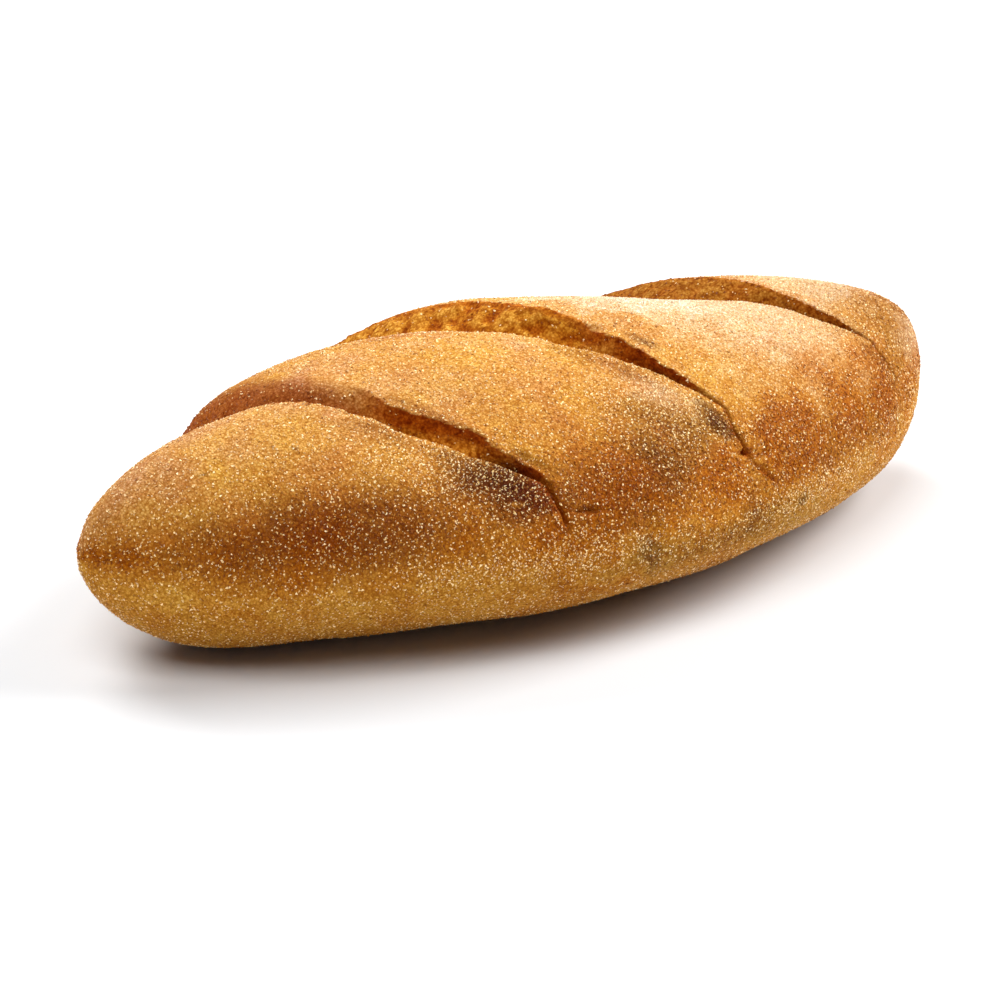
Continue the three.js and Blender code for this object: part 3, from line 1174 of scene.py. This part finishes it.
@dataclass(frozen=True)
class CrustFinish:
    """Baked crust with the finest semolina in it, and the torn crumb of the cuts.

    A range is where a shade starts and ends to change, and a light is the shade itself.
    """

    grain_scale: float = 2300.0
    grain_light: tuple[float, float] = (0.68, 1.25)
    gap_range: tuple[float, float] = (0.25, 0.75)
    gap_light: tuple[float, float] = (1.0, 0.58)
    speck_scale: float = 5200.0
    speck_detail: float = 1.0
    speck_range: tuple[float, float] = (0.3, 0.7)
    speck_light: tuple[float, float] = (0.85, 1.15)
    crumb_scale: float = 950.0
    crumb_detail: float = 6.0
    crumb_range: tuple[float, float] = (0.34, 0.66)
    crumb_light: tuple[float, float] = (0.55, 1.7)
    crumb_gap_range: tuple[float, float] = (0.2, 0.8)
    crumb_gap_light: tuple[float, float] = (1.2, 0.55)
    specular: float = 0.03
    roughness: float = 0.62
    crumb_roughness: float = 0.8
    bump: float = 0.65
    bump_height: float = 0.16 * MM

    def material(self) -> bpy.types.Material:
        """Builds the material."""
        material, tree, shader = new_material("baked_crust")
        place = tree.add("ShaderNodeTexCoord").outputs["Object"]
        tone = tree.add("ShaderNodeAttribute", attribute_name="tone").outputs["Color"]
        crumb = tree.add("ShaderNodeAttribute", attribute_name="crumb").outputs["Fac"]
        cells = tree.add("ShaderNodeTexVoronoi", {"Vector": place, "Scale": self.grain_scale})
        distance = cells.outputs["Distance"]
        specks = tree.noise(place, self.speck_scale, self.speck_detail)
        rough = tree.noise(place, self.crumb_scale, self.crumb_detail)
        chance = tree.add("ShaderNodeSeparateColor", {0: cells.outputs["Color"]}).outputs[0]
        grain = tree.between(chance, 0, 1, *self.grain_light)
        # Darker in the gaps between the fine grains, where the bump sinks: painted shade.
        gap_shade = tree.between(distance, *self.gap_range, *self.gap_light)
        speckle = tree.between(specks, *self.speck_range, *self.speck_light)
        crust_light = tree.math("MULTIPLY", tree.math("MULTIPLY", grain, gap_shade), speckle)
        # Lighter where the torn crumb's bump rises and darker where it sinks: painted light and
        # shade.
        pores_light_and_shade = tree.between(rough, *self.crumb_range, *self.crumb_light)
        crumb_gap = tree.between(distance, *self.crumb_gap_range, *self.crumb_gap_light)
        crumb_light = tree.math("MULTIPLY", tree.math("MULTIPLY", pores_light_and_shade, crumb_gap), speckle)
        light = tree.blend(crumb, crust_light, crumb_light)
        colour = tree.mix(1.0, tone, tree.warm(light), "MULTIPLY")
        tree.tree.links.new(colour, shader.inputs["Base Color"])
        roughness = tree.between(crumb, 0, 1, self.roughness, self.crumb_roughness)
        tree.tree.links.new(roughness, shader.inputs["Roughness"])
        dome = tree.math("SUBTRACT", 1.0, distance)
        bump = tree.add(
            "ShaderNodeBump",
            {
                "Height": tree.blend(crumb, dome, rough),
                "Strength": self.bump,
                "Distance": self.bump_height,
            },
        )
        tree.tree.links.new(bump.outputs[0], shader.inputs["Normal"])
        shader.inputs["Specular IOR Level"].default_value = self.specular
        return material


# ---- The semolina ----


@dataclass(frozen=True)
class GrainFinish:
    """The surface of a semolina grain: hard, and a little shiny on its broken faces."""

    name: str
    roughness: float
    specular: float

    def material(self) -> bpy.types.Material:
        """Builds the material, which takes each grain's colour from the mesh."""
        material, tree, shader = new_material(self.name)
        colour = tree.add("ShaderNodeAttribute", attribute_name="grain").outputs["Color"]
        tree.tree.links.new(colour, shader.inputs["Base Color"])
        shader.inputs["Roughness"].default_value = self.roughness
        shader.inputs["Specular IOR Level"].default_value = self.specular
        return material


class GrainKind(Enum):
    """The kinds of grain, by how far the oven took them."""

    PALE = "pale"
    GOLDEN = "golden"
    AMBER = "amber"
    TOASTED = "toasted"
    FLOURY = "floury"


class GrainDraw(IntEnum):
    """What is drawn for each grain, each from random numbers of its own."""

    SIZE = 1
    FLATNESS = 2
    TURN = 3
    LIGHT = 4


@dataclass(frozen=True)
class GrainRecipe:
    """How many grains of a kind there are, their sizes, their colour and where they lie.

    Attributes:
        kind: the kind of grain.
        count: how many there are.
        small: the size of the smallest.
        large: the size of the largest.
        colour: their own colour, which is mixed with the crust's below them.
        own_share: how much of it is mixed in.
        dim: the shade of the darkest.
        glow: the shade of the brightest.
        on_plain: how thickly they lie on plain crust.
        on_dark: how thickly they lie on dark crust.
        on_bright: how thickly they lie on floury crust.
        on_lip: how thickly they gather on the lips, where they paint a highlight, and on the
            flecked places.
        seed: picks their places and shapes.
        finish: their surface.
    """

    kind: GrainKind
    count: int
    small: float
    large: float
    colour: Colour
    own_share: float
    dim: float
    glow: float
    on_plain: float
    on_dark: float
    on_bright: float
    on_lip: float
    seed: int
    finish: GrainFinish


GLASSY = GrainFinish("glassy_semolina", roughness=0.36, specular=0.16)
BAKED = GrainFinish("baked_semolina", roughness=0.5, specular=0.15)

GRAINS = (
    GrainRecipe(
        GrainKind.PALE, count=24500, small=0.40 * MM, large=0.78 * MM,
        colour=linear(250, 214, 146), own_share=0.8, dim=0.8, glow=1.5,
        on_plain=0.72, on_dark=1.05, on_bright=0.9, on_lip=2.2, seed=1, finish=GLASSY,
    ),
    GrainRecipe(
        GrainKind.GOLDEN, count=24500, small=0.42 * MM, large=0.74 * MM,
        colour=linear(230, 164, 66), own_share=0.35, dim=0.8, glow=1.3,
        on_plain=1.1, on_dark=0.5, on_bright=0.9, on_lip=0.3, seed=2, finish=BAKED,
    ),
    GrainRecipe(
        GrainKind.AMBER, count=24500, small=0.42 * MM, large=0.74 * MM,
        colour=linear(190, 112, 16), own_share=0.35, dim=0.72, glow=1.15,
        on_plain=0.45, on_dark=0.9, on_bright=0.3, on_lip=0.0, seed=3, finish=BAKED,
    ),
    GrainRecipe(
        GrainKind.TOASTED, count=24500, small=0.40 * MM, large=0.70 * MM,
        colour=linear(120, 54, 0), own_share=0.35, dim=0.5, glow=1.0,
        on_plain=0.06, on_dark=1.5, on_bright=0.02, on_lip=0.0, seed=4, finish=BAKED,
    ),
    GrainRecipe(
        GrainKind.FLOURY, count=20000, small=0.28 * MM, large=0.5 * MM,
        colour=linear(244, 222, 184), own_share=0.6, dim=0.8, glow=1.1,
        on_plain=0.3, on_dark=0.12, on_bright=3.0, on_lip=1.0, seed=5, finish=BAKED,
    ),
)

# The crust's attributes that the grains are laid by, and that they have no use for afterwards.
CRUST_ATTRIBUTES = ("tone", "crumb", "cover", "dark", "bright", "lip", "lay")


@dataclass
class Semolina:
    """Angular grains pressed into the crust, each kind joined in one mesh."""

    sunk: float = 0.18
    flattest: float = 0.6
    jitter: float = 0.28

    def grain_shape(self, seed: int) -> bpy.types.Object:
        """One irregular grain of eight faces, about one metre across before it is scaled."""
        chance = np.random.default_rng(seed)
        tips = np.array([sign * axis for axis in np.eye(3) for sign in (1, -1)])
        tips += chance.uniform(-self.jitter, self.jitter, tips.shape)
        girdle = ((0, 2), (2, 1), (1, 3), (3, 0))
        top, bottom = 4, 5
        faces = [(a, b, top) for a, b in girdle] + [(b, a, bottom) for a, b in girdle]
        mesh = bpy.data.meshes.new(f"grain_shape_{seed}")
        mesh.from_pydata((tips * 0.5).tolist(), [], faces)
        return bpy.data.objects.new(mesh.name, mesh)

    def scatter_tree(self) -> bpy.types.NodeTree:
        """The tree that lays grains on a surface, with its sizes as named inputs."""
        group = bpy.data.node_groups.new("lay_grains", "GeometryNodeTree")
        face = group.interface
        face.new_socket("Geometry", in_out="INPUT", socket_type="NodeSocketGeometry")
        for name, kind in (
            ("Shape", "NodeSocketObject"),
            ("Per Area", "NodeSocketFloat"),
            ("Small", "NodeSocketFloat"),
            ("Large", "NodeSocketFloat"),
            ("Sunk", "NodeSocketFloat"),
            ("Flattest", "NodeSocketFloat"),
            ("Own Colour", "NodeSocketColor"),
            ("Own Share", "NodeSocketFloat"),
            ("Dim", "NodeSocketFloat"),
            ("Glow", "NodeSocketFloat"),
            ("Seed", "NodeSocketInt"),
            ("Finish", "NodeSocketMaterial"),
        ):
            face.new_socket(name, in_out="INPUT", socket_type=kind)
        face.new_socket("Geometry", in_out="OUTPUT", socket_type="NodeSocketGeometry")
        tree = Tree(group)
        given = tree.add("NodeGroupInput").outputs
        seed = given["Seed"]
        thick = tree.add("GeometryNodeInputNamedAttribute", {"Name": "lay"}, data_type="FLOAT")
        density = tree.math("MULTIPLY", thick.outputs["Attribute"], given["Per Area"])
        points = tree.add(
            "GeometryNodeDistributePointsOnFaces",
            {"Mesh": given["Geometry"], "Density": density, "Seed": seed},
            distribute_method="RANDOM",
        )
        size = tree.random("FLOAT", given["Small"], given["Large"], seed, GrainDraw.SIZE)
        flat = tree.random("FLOAT", given["Flattest"], 1.0, seed, GrainDraw.FLATNESS)
        thin = tree.math("MULTIPLY", size, flat)
        shape = tree.add("ShaderNodeCombineXYZ", {0: size, 1: thin, 2: size}).outputs[0]
        no_turn, whole_turn = (0.0,) * 3, (2 * math.pi,) * 3
        turn = tree.random("FLOAT_VECTOR", no_turn, whole_turn, seed, GrainDraw.TURN)
        down = tree.math("MULTIPLY", tree.math("MULTIPLY", size, given["Sunk"]), -1.0)
        inward = tree.add(
            "ShaderNodeVectorMath",
            {0: points.outputs["Normal"], "Scale": down},
            operation="SCALE",
        )
        moved = tree.add(
            "GeometryNodeSetPosition",
            {"Geometry": points.outputs["Points"], "Offset": inward.outputs[0]},
        )
        grain = tree.add("GeometryNodeObjectInfo", {"Object": given["Shape"]})
        laid = tree.add(
            "GeometryNodeInstanceOnPoints",
            {
                "Points": moved.outputs[0],
                "Instance": grain.outputs["Geometry"],
                "Rotation": turn,
                "Scale": shape,
            },
        )
        tone = tree.add(
            "GeometryNodeInputNamedAttribute", {"Name": "tone"}, data_type="FLOAT_COLOR"
        )
        own = tree.mix(given["Own Share"], tone.outputs["Attribute"], given["Own Colour"])
        light = tree.random("FLOAT", given["Dim"], given["Glow"], seed, GrainDraw.LIGHT)
        colour = tree.mix(1.0, own, tree.warm(light), "MULTIPLY")
        dyed = tree.add(
            "GeometryNodeStoreNamedAttribute",
            {"Geometry": laid.outputs[0], "Name": "grain", "Value": colour},
            data_type="FLOAT_COLOR",
            domain="INSTANCE",
        )
        real = tree.add("GeometryNodeRealizeInstances", {0: dyed.outputs[0]})
        done = tree.add(
            "GeometryNodeSetMaterial",
            {"Geometry": real.outputs[0], "Material": given["Finish"]},
        )
        tree.add("NodeGroupOutput", {0: done.outputs[0]})
        return group

    @staticmethod
    def thickness(mesh: bpy.types.Mesh, recipe: GrainRecipe) -> Array:
        """How thickly one kind of grain lies at each of the crust's points."""
        cover, dark, bright, lip = (read(mesh, name) for name in ("cover", "dark", "bright", "lip"))
        plain = recipe.on_plain * (1 - dark) * (1 - bright)
        thick = cover * (plain + recipe.on_dark * dark)
        thick += cover * (recipe.on_bright * bright * (1 - dark) + recipe.on_lip * lip)
        return thick

    def lay(
        self,
        crust: bpy.types.Object,
        recipe: GrainRecipe,
        tree: bpy.types.NodeTree,
        finish: bpy.types.Material,
    ) -> bpy.types.Object:
        """Lays one kind of grain on the crust.

        Args:
            crust: the surface, with the attributes that say where grains lie.
            recipe: the kind of grain.
            tree: the scattering tree.
            finish: the grains' material.

        Returns:
            The grains as one plain mesh object.
        """
        mesh = crust.data.copy()
        thick = self.thickness(mesh, recipe)
        Crust.store(mesh, "lay", thick)
        piece = bpy.data.objects.new(f"semolina_{recipe.kind.value}", mesh)
        bpy.context.scene.collection.objects.link(piece)
        shape = self.grain_shape(recipe.seed)
        values = {
            "Shape": shape,
            "Per Area": recipe.count / surface_sum(mesh, thick),
            "Small": recipe.small,
            "Large": recipe.large,
            "Sunk": self.sunk,
            "Flattest": self.flattest,
            "Own Colour": opaque(recipe.colour),
            "Own Share": recipe.own_share,
            "Dim": recipe.dim,
            "Glow": recipe.glow,
            "Seed": recipe.seed,
            "Finish": finish,
        }
        modifier = piece.modifiers.new("grains", "NODES")
        modifier.node_group = tree
        for item in tree.interface.items_tree:
            if item.in_out == "INPUT" and item.name in values:
                modifier[item.identifier] = values[item.name]
        view = bpy.context.evaluated_depsgraph_get()
        made = bpy.data.meshes.new_from_object(piece.evaluated_get(view), depsgraph=view)
        piece.modifiers.clear()
        piece.data = made
        for name in [item.name for item in made.attributes]:
            if name in CRUST_ATTRIBUTES:
                made.attributes.remove(made.attributes[name])
        bpy.data.objects.remove(shape)
        bpy.data.meshes.remove(mesh)
        return piece


def read(mesh: bpy.types.Mesh, name: str) -> Array:
    """The numbers of one of a mesh's point attributes."""
    values = np.zeros(len(mesh.vertices), np.float32)
    mesh.attributes[name].data.foreach_get("value", values)
    return values


def surface_sum(mesh: bpy.types.Mesh, values: Array) -> float:
    """The sum over a mesh's surface of a value at its points times the area."""
    mesh.calc_loop_triangles()
    corners = np.zeros(len(mesh.loop_triangles) * 3, np.int32)
    areas = np.zeros(len(mesh.loop_triangles), np.float32)
    mesh.loop_triangles.foreach_get("vertices", corners)
    mesh.loop_triangles.foreach_get("area", areas)
    return float((values[corners.reshape(-1, 3)].mean(axis=1) * areas).sum())


# ---- The studio ----


@dataclass(frozen=True)
class FloorFinish:
    """Plain pale paper."""

    colour: Colour = (0.72, 0.728, 0.74)
    roughness: float = 0.7
    specular: float = 0.2

    def material(self) -> bpy.types.Material:
        """Builds the material."""
        material, _, shader = new_material("pale_paper")
        shader.inputs["Base Color"].default_value = opaque(self.colour)
        shader.inputs["Roughness"].default_value = self.roughness
        shader.inputs["Specular IOR Level"].default_value = self.specular
        return material


@dataclass(frozen=True)
class SoftLight:
    """A square soft light, placed by its direction from the loaf."""

    name: str
    azimuth: float
    elevation: float
    distance: float
    size: float
    power: float


def direction(azimuth: float, elevation: float) -> Vector:
    """The direction from the loaf at an azimuth from -Y towards +X, in degrees."""
    a, e = math.radians(azimuth), math.radians(elevation)
    return Vector((math.sin(a) * math.cos(e), -math.cos(a) * math.cos(e), math.sin(e)))


@dataclass
class Studio:
    """The camera, the lights and the floor."""

    target: tuple[float, float, float] = (0, 0, 21.3 * MM)
    azimuth: float = -36.68
    elevation: float = 21.75
    distance: float = 625.66 * MM
    field_of_view: float = 15.97
    pan: float = 0.428
    tilt: float = -0.927
    roll: float = 1.12
    sensor_mm: float = 36.0
    sees_from: float = 0.01
    sees_to: float = 20.0
    floor_size: float = 8.0
    surround: float = 0.12
    lights: tuple[SoftLight, ...] = (
        SoftLight("right", azimuth=72, elevation=36, distance=1.0, size=0.6, power=14.0),
        SoftLight("behind", azimuth=180, elevation=42, distance=1.0, size=0.6, power=9.5),
        SoftLight("fill", azimuth=-60, elevation=60, distance=1.0, size=0.6, power=6.5),
    )

    def camera(self) -> None:
        """Sets up the camera at the photograph's viewing angle."""
        data = bpy.data.cameras.new("camera")
        data.sensor_width = self.sensor_mm
        data.angle = math.radians(self.field_of_view)
        data.clip_start = self.sees_from
        data.clip_end = self.sees_to
        camera = bpy.data.objects.new("camera", data)
        back = direction(self.azimuth, self.elevation)
        ahead = -back
        right = ahead.cross(Vector((0, 0, 1))).normalized()
        up = right.cross(ahead)
        ahead, right = self.turned(ahead, right, -self.pan)
        ahead, up = self.turned(ahead, up, self.tilt)
        right, up = self.turned(right, up, self.roll)
        axes = Matrix((right, up, -ahead)).transposed().to_4x4()
        axes.translation = Vector(self.target) + back * self.distance
        camera.matrix_world = axes
        bpy.context.scene.collection.objects.link(camera)
        bpy.context.scene.camera = camera

    @staticmethod
    def turned(first: Vector, second: Vector, degrees: float) -> tuple[Vector, Vector]:
        """Two axes turned in their plane, the first towards the second."""
        c, s = math.cos(math.radians(degrees)), math.sin(math.radians(degrees))
        return first * c + second * s, second * c - first * s

    def light(self) -> None:
        """Sets up the soft lights and the white surround."""
        for lamp in self.lights:
            data = bpy.data.lights.new(lamp.name, "AREA")
            data.size = lamp.size
            data.energy = lamp.power
            light = bpy.data.objects.new(lamp.name, data)
            back = direction(lamp.azimuth, lamp.elevation)
            light.location = Vector(self.target) + back * lamp.distance
            light.rotation_euler = back.to_track_quat("Z", "Y").to_euler()
            bpy.context.scene.collection.objects.link(light)
        world = bpy.data.worlds.new("surround")
        world.use_nodes = True
        world.node_tree.nodes["Background"].inputs["Color"].default_value = (1, 1, 1, 1)
        world.node_tree.nodes["Background"].inputs["Strength"].default_value = self.surround
        bpy.context.scene.world = world
        bpy.context.scene.view_settings.view_transform = "Standard"

    def floor(self) -> None:
        """Lays the floor."""
        half = self.floor_size / 2
        mesh = bpy.data.meshes.new("floor")
        corners = [(-half, -half, 0), (half, -half, 0), (half, half, 0), (-half, half, 0)]
        mesh.from_pydata(corners, [], [(0, 1, 2, 3)])
        mesh.materials.append(FloorFinish().material())
        floor = bpy.data.objects.new("floor", mesh)
        bpy.context.scene.collection.objects.link(floor)


# ---- The whole ----


def report(piece: bpy.types.Object) -> None:
    """Logs a piece's name and how many triangles it has."""
    piece.data.calc_loop_triangles()
    log.info("%s: %d triangles", piece.name, len(piece.data.loop_triangles))


def main() -> None:
    """Builds the studio, the crust and the semolina, and ties them to the frame."""
    logging.basicConfig(level=logging.INFO, format="%(name)s: %(message)s")
    studio = Studio()
    studio.camera()
    studio.light()
    studio.floor()

    crust = Crust().build()
    crust.data.materials.append(CrustFinish().material())
    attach(crust, BODY)
    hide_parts(NODE)
    report(crust)

    semolina = Semolina()
    tree = semolina.scatter_tree()
    finishes = {finish.name: finish.material() for finish in (GLASSY, BAKED)}
    for recipe in GRAINS:
        grains = semolina.lay(crust, recipe, tree, finishes[recipe.finish.name])
        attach(grains, BODY)
        report(grains)


if __name__ == "__main__":
    main()
